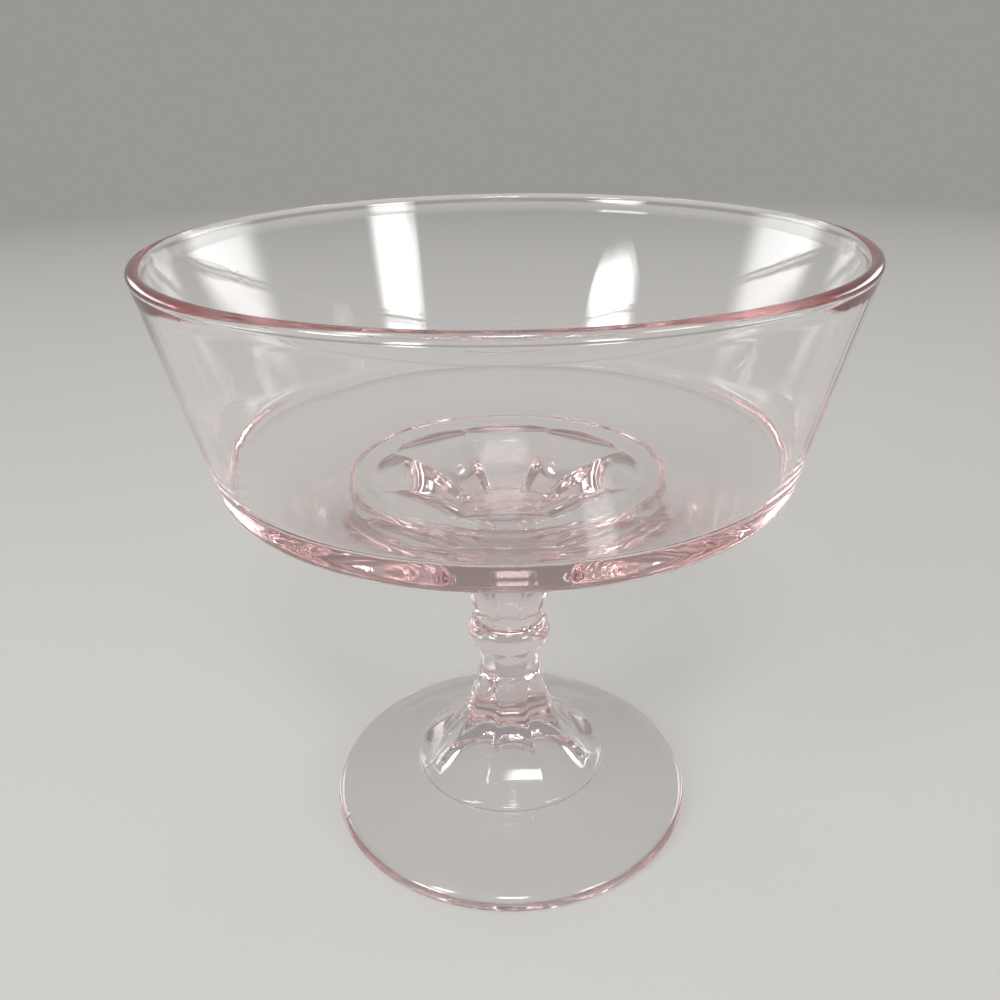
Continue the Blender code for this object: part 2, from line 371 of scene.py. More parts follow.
@dataclass
class Bowl:
    """Straight-sided bowl with a dished floor, a ring under it and the fluted neck."""

    rim_radius: float
    rim_top: float
    neck_bottom: float
    height: float = 66.5
    rim_round: float = 1.8
    rim_bead: float = 0.4
    rim_end_angle: float = -45.0
    wall_lean: float = 13.8
    wall_at_floor: float = 4.0
    base_thickness: float = 8.1
    floor_dish: float = 10.0
    corner_reach: float = 1.6
    base_round_height: float = 5.0
    base_round_width: float = 4.2
    base_round_pull: float = 0.62
    underside_drop: float = 9.3
    ring_radius: float = 49.2
    ring_step: float = 3.3
    ring_round: float = 1.4
    ring_root: float = 0.7
    ring_face_angle: float = 8.0
    scallop_inset: float = 5.0
    scoop_rise: float = 0.7
    neck_flat: float = 10.4
    neck_allowance: float = 1.4
    neck_lift: float = 0.6
    flute_turn: float = -1.0
    flute_ridges: Point = (0.4, 4.0)
    flute_hollows: Point = (1.2, 0.15)
    flute_blend: float = 0.06
    focus_reach: float = 1.0

    # Strength of the marks.
    wall_streak: float = 0.2
    outer_wave: float = 0.35
    base_streak: float = 5.0

    # Shares of the way that shape the curves of the neck and its flutes.
    face_pull: float = 0.40
    neck_pull: Point = (0.14, 0.45)
    crest_share: float = 0.78
    scoop_pull: Point = (0.3, 0.6)
    crest_pull: float = 0.4
    flank_pull: float = 0.42
    flank_end_pull: Point = (0.09, 0.37)

    # Steps along the stretches of the outline.
    floor_steps: int = 26
    corner_steps: int = 6
    wall_steps: int = 18
    rim_steps: int = 16
    base_steps: int = 12
    underside_steps: int = 9
    root_steps: int = 5
    bead_steps: int = 7
    neck_steps: int = 56
    body_curve_steps: int = 120
    scoop_curve_steps: int = 30
    flank_curve_steps: int = 130

    @property
    def base_bottom(self) -> float:
        """Height of the base's outer edge."""
        return self.rim_top - self.height

    @property
    def bead_bottom(self) -> float:
        """Height where the rim's bead meets the wall."""
        return self.rim_top - 2 * self.rim_round

    def wall_radius(self, height: float) -> float:
        """Outer radius of the straight wall at a height."""
        drop = self.bead_bottom - height
        return self.rim_radius - self.rim_bead - drop * math.tan(math.radians(self.wall_lean))

    def inside(self, columns: np.ndarray, turn: float) -> list[Strip]:
        """Dished floor, rounded corner, inner wall and rim.

        Args:
            columns: the wedge's column angles.
            turn: how far the columns are turned, in radians.

        Returns:
            The strips from the axis outwards.
        """
        corner_height = self.base_bottom + self.base_thickness
        corner = (self.wall_radius(corner_height) - self.wall_at_floor, corner_height)
        part = np.linspace(0.0, 1.0, self.floor_steps + 1)[:-1]
        dish = np.column_stack([corner[0] * part, corner[1] - self.floor_dish * (1 - part**2)])
        rim_centre = (self.rim_radius - self.rim_round, self.rim_top - self.rim_round)
        rim = arc(rim_centre, self.rim_round, self.rim_round, 180.0, self.rim_end_angle, self.rim_steps)
        bend = soften(dish[-1], corner, rim[0], self.corner_reach, self.corner_steps)
        wall = line(bend[-1], rim[0], self.wall_steps)[1:-1]
        return [
            Strip.turned(np.vstack([dish, bend]), columns, turn, {Mark.WEAR: FULL}),
            Strip.turned(wall, columns, turn, {Mark.WAVE: FULL, Mark.STREAK: self.wall_streak}),
            Strip.turned(rim, columns, turn),
        ]

    def outside(self, columns: np.ndarray, turn: float) -> list[Strip]:
        """Outer wall, rounded base, underside and ring.

        Args:
            columns: the wedge's column angles.
            turn: how far the columns are turned, in radians.

        Returns:
            The strips from the rim downwards.
        """
        base_top = self.base_bottom + self.base_round_height
        wall_top = (self.wall_radius(self.bead_bottom), self.bead_bottom)
        wall_end = (self.wall_radius(base_top), base_top)
        wall = line(wall_top, wall_end, self.wall_steps)[:-1]
        pull_height = base_top - self.base_round_pull * self.base_round_height
        base_end = (wall_end[0] - self.base_round_width, self.base_bottom)
        base = bezier(
            wall_end,
            (self.wall_radius(pull_height), pull_height),
            (base_end[0] + self.base_round_pull * self.base_round_width, self.base_bottom),
            base_end,
            self.base_steps,
        )
        ring_top = (self.ring_radius, self.base_bottom - self.underside_drop)
        ring_edge = (self.ring_radius, ring_top[1] - self.ring_step + self.ring_round)
        root = soften(base_end, ring_top, ring_edge, self.ring_root, self.root_steps)
        underside = line(base_end, root[0], self.underside_steps)[1:-1]
        bead_centre = (self.ring_radius - self.ring_round, ring_edge[1])
        bead = arc(bead_centre, self.ring_round, self.ring_round, 0.0, -90.0, self.bead_steps)[:-1]
        return [
            Strip.turned(
                wall, columns, turn, {Mark.WAVE: self.outer_wave, Mark.STREAK: self.wall_streak}
            ),
            Strip.turned(base, columns, turn, {Mark.STREAK: self.base_streak}),
            Strip.turned(np.vstack([underside, root, bead]), columns, turn),
        ]

    def neck(self, columns: np.ndarray, turn: float) -> list[Strip]:
        """The fluted neck, whose flutes run out in scallops on the sloping face inside the ring.

        Args:
            columns: the wedge's column angles.
            turn: how far the flutes are turned, in radians.

        Returns:
            The strip from the ring's face down to the knop.
        """
        slope = math.tan(math.radians(self.ring_face_angle))
        face = (self.ring_radius - self.ring_round, self.base_bottom - self.underside_drop - self.ring_step)
        end = self.neck_bottom + self.neck_lift
        body_end = (self.neck_flat / math.cos(HALF_FLUTE) + self.neck_allowance, end)
        pull = share(body_end[0], face[0], self.face_pull)
        body = bezier(
            face,
            (pull, face[1] - (face[0] - pull) * slope),
            between(body_end, face, self.neck_pull),
            body_end,
            self.body_curve_steps,
        )
        top = (face[0] - self.scallop_inset, face[1] - self.scallop_inset * slope)
        crest = (share(self.neck_flat, top[0], self.crest_share), top[1] + self.scoop_rise)
        scoop = bezier(
            top,
            between(top, crest, self.scoop_pull),
            (share(crest[0], top[0], self.crest_pull), crest[1]),
            crest,
            self.scoop_curve_steps,
        )
        flank_end = (self.neck_flat, end)
        flank = bezier(
            crest,
            (share(self.neck_flat, top[0], self.flank_pull), crest[1]),
            between(flank_end, (top[0], crest[1]), self.flank_end_pull),
            flank_end,
            self.flank_curve_steps,
        )
        run_out = (self.ring_radius + self.scallop_inset, top[1])
        panel = np.vstack([[run_out], scoop, flank[1:]])
        focus = (self.ring_radius + self.focus_reach, end)
        flutes = Flutes(focus, self.flute_ridges, self.flute_hollows, self.flute_blend)
        return [flutes.strip(body, panel, columns, turn, self.neck_steps, {})]


@dataclass
class Knop:
    """Round wafer of glass between the neck and the standard."""

    bottom: float
    top: float
    neck_seat: float
    shaft_seat: float
    overhang: float = 3.74
    bulge_inset: float = 0.2
    bulge_steps: int = 26
    groove_angle: float = 78.0
    groove_edge: Point = (0.12, 0.28)
    groove_root: Point = (0.04, 0.06)

    def strips(self, columns: np.ndarray, top_turn: float, bottom_turn: float) -> list[Strip]:
        """Groove, bulge and groove, whose columns turn from the neck's flutes to the shaft's.

        Args:
            columns: the wedge's column angles.
            top_turn, bottom_turn: turn of the flutes above and below, in radians.

        Returns:
            The strip from the neck down to the shaft.
        """
        seat = (self.neck_seat + self.shaft_seat) / 2 - self.bulge_inset
        centre = (seat, (self.top + self.bottom) / 2)
        rise = (self.top - self.bottom) / 2
        bulge = arc(centre, self.overhang, rise, self.groove_angle, -self.groove_angle, self.bulge_steps)
        groove = np.array([self.groove_edge, self.groove_root])
        upper = np.array([self.neck_seat, self.top]) + groove
        lower = np.array([self.shaft_seat, self.bottom]) + groove[::-1] * (1, -1)
        outline = np.vstack([upper, bulge, lower])
        strip = Strip.turned(outline, columns, top_turn)
        strip.turn = np.linspace(top_turn, bottom_turn, len(outline))
        return [strip]


@dataclass
class Standard:
    """Pedestal with eight flat sides, a round lip and a broad hollow foot."""

    top: float
    foot_radius: float
    shaft_flat: float = 9.95
    shaft_allowance: float = 1.4
    shaft_drop: float = 0.6
    straight: float = 3.0
    flute_turn: float = 3.0
    flute_inset: float = 1.9
    flute_drop: float = 0.85
    flute_run_out: float = 6.0
    flute_ridges: Point = (4.5, 0.9)
    flute_hollows: Point = (0.0, 0.5)
    flute_blend: float = 0.2
    focus_reach: float = 11.0
    lip_radius: float = 32.7
    lip_height: float = 17.0
    lip_round_width: float = 2.2
    lip_round_height: float = 2.5
    lip_top_angle: float = 60.0
    lip_undercut: float = 20.0
    root_reach: float = 0.5
    shoulder_height: float = 6.8
    shoulder_angle: float = 80.0
    equator_height: float = 3.0
    round_width: float = 4.6
    rest_round: float = 2.4
    rest_width: float = 3.0
    rest_edge: float = 1.3
    hollow_height: float = 24.0
    hollow_wall: float = 6.6
    hollow_cone_pull: float = 0.36
    hollow_dome_pull: float = 0.40

    # Strength of the seam on the foot's top, where it is nearly polished away.
    top_seam: float = 0.2

    # Shares of the way that shape the curves of the pedestal and its flutes.
    shaft_pull: float = 0.40
    body_pull: Point = (0.37, 0.86)
    panel_pull: Point = (0.29, 0.85)

    # Steps along the stretches of the outline.
    pedestal_steps: int = 66
    body_curve_steps: int = 140
    panel_curve_steps: int = 160
    lip_steps: int = 20
    under_steps: int = 3
    root_steps: int = 4
    top_steps: int = 9
    shoulder_steps: int = 13
    rest_steps: int = 9
    edge_steps: int = 6
    cone_steps: int = 9
    dome_steps: int = 26

    @property
    def lip_centre(self) -> Point:
        """Centre of the lip's rounding."""
        return self.lip_radius - self.lip_round_width, self.lip_height - self.lip_round_height

    def foot_top(self, radius: float) -> float:
        """Height of the foot's sloping top.

        Args:
            radius: distance from the axis.

        Returns:
            The height there.
        """
        shoulder = self.foot_radius - self.round_width
        drop = self.lip_round_height * (1 + math.sin(math.radians(self.lip_undercut)))
        part = (radius - self.lip_radius) / (shoulder - self.lip_radius)
        return share(self.lip_height - drop, self.shoulder_height, part)

    def lip(self, start: float, end: float, count: int) -> np.ndarray:
        """count + 1 points of the lip's rounding between two angles in degrees."""
        return arc(self.lip_centre, self.lip_round_width, self.lip_round_height, start, end, count)

    def pedestal(self, columns: np.ndarray, turn: float) -> list[Strip]:
        """The fluted pedestal and its lip.

        Args:
            columns: the wedge's column angles.
            turn: how far the flutes are turned, in radians.

        Returns:
            The strip from the knop down to the lip's widest line.
        """
        start = self.top - self.shaft_drop
        lip = self.lip(self.lip_top_angle, 0.0, self.lip_steps)
        body_start = (self.shaft_flat / math.cos(HALF_FLUTE) + self.shaft_allowance, start)
        body = bezier(
            body_start,
            (body_start[0], share(start, lip[0, 1], self.shaft_pull)),
            between(body_start, lip[0], self.body_pull),
            lip[0],
            self.body_curve_steps,
        )
        end = (self.lip_radius - self.flute_inset, self.lip_height - self.flute_drop)
        straight_end = (self.shaft_flat, self.top - self.straight)
        panel = bezier(
            straight_end,
            (self.shaft_flat, share(straight_end[1], end[1], self.shaft_pull)),
            between(straight_end, end, self.panel_pull),
            end,
            self.panel_curve_steps,
        )
        run_out = (self.lip_radius + self.flute_run_out, end[1])
        panel = np.vstack([[(self.shaft_flat, start)], panel, [run_out]])
        focus = (self.lip_radius + self.focus_reach, start)
        flutes = Flutes(focus, self.flute_ridges, self.flute_hollows, self.flute_blend)
        outline = np.vstack([body, lip[1:]])
        return [flutes.strip(outline, panel, columns, turn, self.pedestal_steps, {Mark.SEAM: FULL})]

    def foot(self, columns: np.ndarray, turn: float) -> list[Strip]:
        """Foot, rest ring and the hollow under them.

        Args:
            columns: the wedge's column angles.
            turn: how far the columns are turned, in radians.

        Returns:
            The strips from the lip down, round and up to the axis.
        """
        under = self.lip(0.0, -self.lip_undercut, self.under_steps)[1:]
        shoulder_centre = (self.foot_radius - self.round_width, self.equator_height)
        shoulder_rise = self.shoulder_height - self.equator_height
        shoulder = arc(
            shoulder_centre, self.round_width, shoulder_rise, self.shoulder_angle, 0.0, self.shoulder_steps
        )
        foot_start = (self.lip_radius, self.foot_top(self.lip_radius))
        root = soften(under[-1], foot_start, shoulder[0], self.root_reach, self.root_steps)
        top = line(root[-1], shoulder[0], self.top_steps)[1:-1]
        rest_centre = (self.foot_radius - self.rest_round, self.equator_height)
        rest = arc(rest_centre, self.rest_round, self.equator_height, 0.0, -90.0, self.rest_steps)[1:]
        rest_inner = (rest_centre[0] - self.rest_width, 0.0)
        cone_end = (self.lip_radius, foot_start[1] - self.hollow_wall)
        cone_slope = cone_end[1] / (rest_inner[0] - cone_end[0])
        cone_run = cone_end[0] * self.hollow_cone_pull
        ring_edge = soften(rest[-1], rest_inner, cone_end, self.rest_edge, self.edge_steps)
        cone = line(ring_edge[-1], cone_end, self.cone_steps)[1:-1]
        dome = bezier(
            cone_end,
            (cone_end[0] - cone_run, cone_end[1] + cone_slope * cone_run),
            (cone_end[0] * self.hollow_dome_pull, self.hollow_height),
            (0.0, self.hollow_height),
            self.dome_steps,
        )
        return [
            Strip.turned(np.vstack([root, top]), columns, turn, {Mark.SEAM: self.top_seam}),
            Strip.turned(shoulder, columns, turn, {Mark.SEAM: FULL}),
            Strip.turned(np.vstack([rest, ring_edge, cone, dome]), columns, turn),
        ]


@dataclass(frozen=True)
class PressedGlass:
    """Soda-lime glass pressed in an iron mould and fire polished, gone faintly pink with age.

    The eye gets a bright, smooth skin with soft waves and drawn streaks, clear depth, a dusky pink that
    gathers where the glass is thick or is seen along its wall, and hair scratches from use.
    """

    name: str = "pressed_soda_lime_glass"
    ior: float = 1.52
    tint: str = "#F2E5E5"
    tint_depth: float = 60.0
    density_margin: float = 1.25
    roughness: float = 0.0
    skin_wave: float = 7.0
    skin_detail: float = 1.0
    skin_depth: float = 0.003
    streak_width: float = 3.2
    streak_stretch: float = 0.04
    streak_detail: float = 2.0
    streak_depth: float = 0.02
    streak_radius: float = 95.0
    flaw_at: float = 213.0
    flaw_reach: float = 24.0
    flaw_gain: float = 2.5
    scratch_width: float = 0.45
    scratch_length: float = 14.0
    scratch_turns: tuple[float, float] = (25.0, 118.0)
    scratch_detail: float = 1.0
    scratch_share: float = 0.66
    scratch_edge: float = 0.04
    scratch_depth: float = 0.003
    scratch_roughness: float = 0.12

    def skin(self, tree: Tree, place: Source) -> Source:
        """Soft waves of the fire-polished skin.

        Args:
            tree: the material's tree.
            place: the point on the object.

        Returns:
            The normal with the waves.
        """
        wave = add_node(
            tree,
            "ShaderNodeTexNoise",
            {"Vector": place, "Scale": 1 / (self.skin_wave * MM), "Detail": self.skin_detail},
        )
        bump = add_node(
            tree, "ShaderNodeBump", {"Height": wave.outputs["Fac"], "Distance": self.skin_depth * MM}
        )
        return bump.outputs["Normal"]

    def streaks(self, tree: Tree, place: Source, normal: Source) -> Source:
        """Fine streaks down the bowl, where the plunger drew the hot glass up.

        They stand out most at the front left, as in the photograph.

        Args:
            tree: the material's tree.
            place: the point on the object.
            normal: the normal without the streaks.

        Returns:
            The normal with the streaks.
        """
        level = add_node(tree, "ShaderNodeVectorMath", {0: place, 1: LEVEL}, operation="MULTIPLY")
        outward = add_node(tree, "ShaderNodeVectorMath", {0: level}, operation="NORMALIZE")
        around = add_node(
            tree,
            "ShaderNodeVectorMath",
            {0: outward, "Scale": self.streak_radius * MM},
            operation="SCALE",
        )
        drawn = add_node(
            tree,
            "ShaderNodeVectorMath",
            {0: place, 1: (0.0, 0.0, self.streak_stretch), 2: around},
            operation="MULTIPLY_ADD",
        )
        streak = add_node(
            tree,
            "ShaderNodeTexNoise",
            {"Vector": drawn, "Scale": 1 / (self.streak_width * MM), "Detail": self.streak_detail},
        )
        flaw_angle = math.radians(self.flaw_at)
        flaw_way = (math.cos(flaw_angle), math.sin(flaw_angle), 0.0)
        facing = add_node(
            tree, "ShaderNodeVectorMath", {0: outward, 1: flaw_way}, operation="DOT_PRODUCT"
        )
        gain = add_node(
            tree,
            "ShaderNodeMapRange",
            {
                "Value": facing.outputs["Value"],
                "From Min": math.cos(math.radians(self.flaw_reach)),
                "To Min": FULL,
                "To Max": self.flaw_gain,
            },
        )
        mark = add_node(tree, "ShaderNodeAttribute", attribute_name=Mark.STREAK.value)
        strength = add_node(
            tree, "ShaderNodeMath", {0: mark.outputs["Fac"], 1: gain}, operation="MULTIPLY"
        )
        height = add_node(
            tree, "ShaderNodeMath", {0: streak.outputs["Fac"], 1: strength}, operation="MULTIPLY"
        )
        bump = add_node(
            tree,
            "ShaderNodeBump",
            {"Height": height, "Distance": self.streak_depth * MM, "Normal": normal},
        )
        return bump.outputs["Normal"]

    def scratches(self, tree: Tree, place: Source) -> Source:
        """Hair scratches that cutlery left on the bowl's floor, drawn wider than real ones to show.

        Args:
            tree: the material's tree.
            place: the point on the object.

        Returns:
            How scratched the point is, from 0 to 1.
        """
        along = 1 / (self.scratch_length * MM)
        scale = (along, 1 / (self.scratch_width * MM), along)
        scratched = 0.0
        for turn in self.scratch_turns:
            lined = add_node(
                tree,
                "ShaderNodeMapping",
                {"Vector": place, "Rotation": (0.0, 0.0, math.radians(turn)), "Scale": scale},
            )
            hairs = add_node(
                tree, "ShaderNodeTexNoise", {"Vector": lined, "Scale": 1.0, "Detail": self.scratch_detail}
            )
            cut = add_node(
                tree,
                "ShaderNodeMapRange",
                {
                    "Value": hairs.outputs["Fac"],
                    "From Min": self.scratch_share,
                    "From Max": self.scratch_share + self.scratch_edge,
                },
            )
            scratched = add_node(tree, "ShaderNodeMath", {0: cut, 1: scratched}, operation="MAXIMUM")
        worn = add_node(tree, "ShaderNodeAttribute", attribute_name=Mark.WEAR.value).outputs["Fac"]
        return add_node(tree, "ShaderNodeMath", {0: scratched, 1: worn}, operation="MULTIPLY")

    def material(self) -> bpy.types.Material:
        """The glass's shader: a clear marked skin over a volume that takes up green and blue.

        Returns:
            The material.
        """
        material = bpy.data.materials.new(self.name)
        material.use_nodes = True
        tree = material.node_tree
        tree.nodes.clear()
        place = add_node(tree, "ShaderNodeTexCoord").outputs["Object"]
        normal = self.streaks(tree, place, self.skin(tree, place))
        scuff = self.scratches(tree, place)
        scratched = add_node(
            tree,
            "ShaderNodeBump",
            {"Height": scuff, "Distance": self.scratch_depth * MM, "Normal": normal},
        )
        rough = add_node(
            tree,
            "ShaderNodeMapRange",
            {"Value": scuff, "To Min": self.roughness, "To Max": self.scratch_roughness},
        )
        shader = add_node(
            tree,
            "ShaderNodeBsdfPrincipled",
            {
                "Base Color": linear(WHITE),
                "Roughness": rough,
                "IOR": self.ior,
                "Transmission Weight": 1.0,
                "Normal": scratched.outputs["Normal"],
            },
        )
        taken = [-math.log(channel) / (self.tint_depth * MM) for channel in linear(self.tint)[:3]]
        density = max(taken) * self.density_margin
        volume = add_node(
            tree,
            "ShaderNodeVolumeAbsorption",
            {"Color": (*[1 - amount / density for amount in taken], 1.0), "Density": density},
        )
        add_node(
            tree,
            "ShaderNodeOutputMaterial",
            {"Surface": shader.outputs["BSDF"], "Volume": volume.outputs["Volume"]},
        )
        return material


@dataclass
class PressMarks:
    """What the press leaves in the glass: soft waves down the walls and a fine seam of the mould."""

    wave_depth: float = 0.30
    wave_length: float = 32.0
    wave_stretch: float = 0.35
    wave_detail: float = 1.5
    seam_height: float = 0.12
    seam_width: float = 0.45
    seam: float = 203.0
    weld: float = 0.002

    def turned(self, tree: Tree, given: Sockets) -> Source:
        """Sets the wedge around the axis and welds it into one skin.

        Args:
            tree: the node tree.
            given: its inputs.

        Returns:
            The whole body.
        """
        index = add_node(tree, "GeometryNodeInputIndex").outputs["Index"]
        step = add_node(tree, "ShaderNodeMath", {0: math.tau, 1: given["Flutes"]}, operation="DIVIDE")
        angle = add_node(tree, "ShaderNodeMath", {0: index, 1: step}, operation="MULTIPLY")
        turn = add_node(tree, "ShaderNodeCombineXYZ", {"Z": angle})
        points = add_node(tree, "GeometryNodePoints", {"Count": given["Flutes"]})
        ring = add_node(
            tree,
            "GeometryNodeInstanceOnPoints",
            {"Points": points, "Instance": given["Wedge"], "Rotation": turn},
        )
        whole = add_node(tree, "GeometryNodeRealizeInstances", {0: ring})
        welded = add_node(
            tree, "GeometryNodeMergeByDistance", {"Geometry": whole, "Distance": given["Weld"]}
        )
        return welded

    def waves(self, tree: Tree, given: Sockets, place: Source) -> Source:
        """Soft waves that run down the walls.

        Args:
            tree: the node tree.
            given: its inputs.
            place: the point on the object.

        Returns:
            How far the waves push the point out.
        """
        squeeze = add_node(tree, "ShaderNodeCombineXYZ", {"X": 1.0, "Y": 1.0, "Z": given["Wave Stretch"]})
        squeezed = add_node(tree, "ShaderNodeVectorMath", {0: place, 1: squeeze}, operation="MULTIPLY")
        scale = add_node(tree, "ShaderNodeMath", {0: 1.0, 1: given["Wave Length"]}, operation="DIVIDE")
        noise = add_node(
            tree, "ShaderNodeTexNoise", {"Vector": squeezed, "Scale": scale, "Detail": self.wave_detail}
        )
        swing = add_node(tree, "ShaderNodeMath", {0: noise.outputs["Fac"], 1: MIDDLE}, operation="SUBTRACT")
        mark = add_node(
            tree, "GeometryNodeInputNamedAttribute", {"Name": Mark.WAVE.value}, data_type="FLOAT"
        )
        depth = add_node(
            tree,
            "ShaderNodeMath",
            {0: given["Wave Depth"], 1: mark.outputs["Attribute"]},
            operation="MULTIPLY",
        )
        push = add_node(tree, "ShaderNodeMath", {0: swing, 1: depth}, operation="MULTIPLY")
        return push

    def seamed(self, tree: Tree, given: Sockets, place: Source, push: Source) -> Source:
        """Adds the fine ridge of the mould's seam.

        Args:
            tree: the node tree.
            given: its inputs.
            place: the point on the object.
            push: how far the point is pushed out so far.

        Returns:
            How far it is pushed out with the seam.
        """
        axes = add_node(tree, "ShaderNodeSeparateXYZ", {0: place}).outputs
        around = add_node(tree, "ShaderNodeMath", {0: axes["Y"], 1: axes["X"]}, operation="ARCTAN2")
        level = add_node(tree, "ShaderNodeVectorMath", {0: place, 1: LEVEL}, operation="MULTIPLY")
        radius = add_node(tree, "ShaderNodeVectorMath", {0: level}, operation="LENGTH")
        turned = add_node(tree, "ShaderNodeMath", {0: around, 1: given["Seam"]}, operation="SUBTRACT")
        sine = add_node(tree, "ShaderNodeMath", {0: turned}, operation="SINE")
        aside = add_node(tree, "ShaderNodeMath", {0: sine}, operation="ABSOLUTE")
        reach = add_node(
            tree, "ShaderNodeMath", {0: aside, 1: radius.outputs["Value"]}, operation="MULTIPLY"
        )
        ridge = add_node(
            tree,
            "ShaderNodeMapRange",
            {
                "Value": reach,
                "From Max": given["Seam Width"],
                "To Min": given["Seam Height"],
                "To Max": 0.0,
            },
            interpolation_type="SMOOTHSTEP",
        )
        mark = add_node(
            tree, "GeometryNodeInputNamedAttribute", {"Name": Mark.SEAM.value}, data_type="FLOAT"
        )
        total = add_node(
            tree,
            "ShaderNodeMath",
            {0: ridge, 1: mark.outputs["Attribute"], 2: push},
            operation="MULTIPLY_ADD",
        )
        return total

    def tree(self) -> Tree:
        """Node tree that turns one wedge into the whole body and presses the marks into it.

        Returns:
            The tree, with named inputs for its sizes.
        """
        tree = bpy.data.node_groups.new("turned_and_pressed", "GeometryNodeTree")
        tree.interface.new_socket("Wedge", in_out="INPUT", socket_type="NodeSocketGeometry")
        tree.interface.new_socket("Flutes", in_out="INPUT", socket_type="NodeSocketInt")
        sizes = ("Weld", "Wave Depth", "Wave Length", "Wave Stretch", "Seam Height", "Seam Width", "Seam")
        for name in sizes:
            tree.interface.new_socket(name, in_out="INPUT", socket_type="NodeSocketFloat")
        tree.interface.new_socket("Glass", in_out="INPUT", socket_type="NodeSocketMaterial")
        tree.interface.new_socket("Body", in_out="OUTPUT", socket_type="NodeSocketGeometry")
        given = add_node(tree, "NodeGroupInput").outputs
        body = self.turned(tree, given)
        place = add_node(tree, "GeometryNodeInputPosition")
        push = self.seamed(tree, given, place, self.waves(tree, given, place))
        normal = add_node(tree, "GeometryNodeInputNormal")
        offset = add_node(tree, "ShaderNodeVectorMath", {0: normal, "Scale": push}, operation="SCALE")
        pressed = add_node(tree, "GeometryNodeSetPosition", {"Geometry": body, "Offset": offset})
        smooth = add_node(tree, "GeometryNodeSetShadeSmooth", {0: pressed})
        dressed = add_node(
            tree, "GeometryNodeSetMaterial", {"Geometry": smooth, "Material": given["Glass"]}
        )
        add_node(tree, "NodeGroupOutput", {0: dressed})
        return tree

    def values(self, material: bpy.types.Material) -> dict[str, object]:
        """Values of the tree's inputs.

        Args:
            material: the glass.

        Returns:
            The values by input name, in metres and radians.
        """
        return {
            "Flutes": FLUTES,
            "Weld": self.weld * MM,
            "Wave Depth": self.wave_depth * MM,
            "Wave Length": self.wave_length * MM,
            "Wave Stretch": self.wave_stretch,
            "Seam Height": self.seam_height * MM,
            "Seam Width": self.seam_width * MM,
            "Seam": math.radians(self.seam),
            "Glass": material,
        }


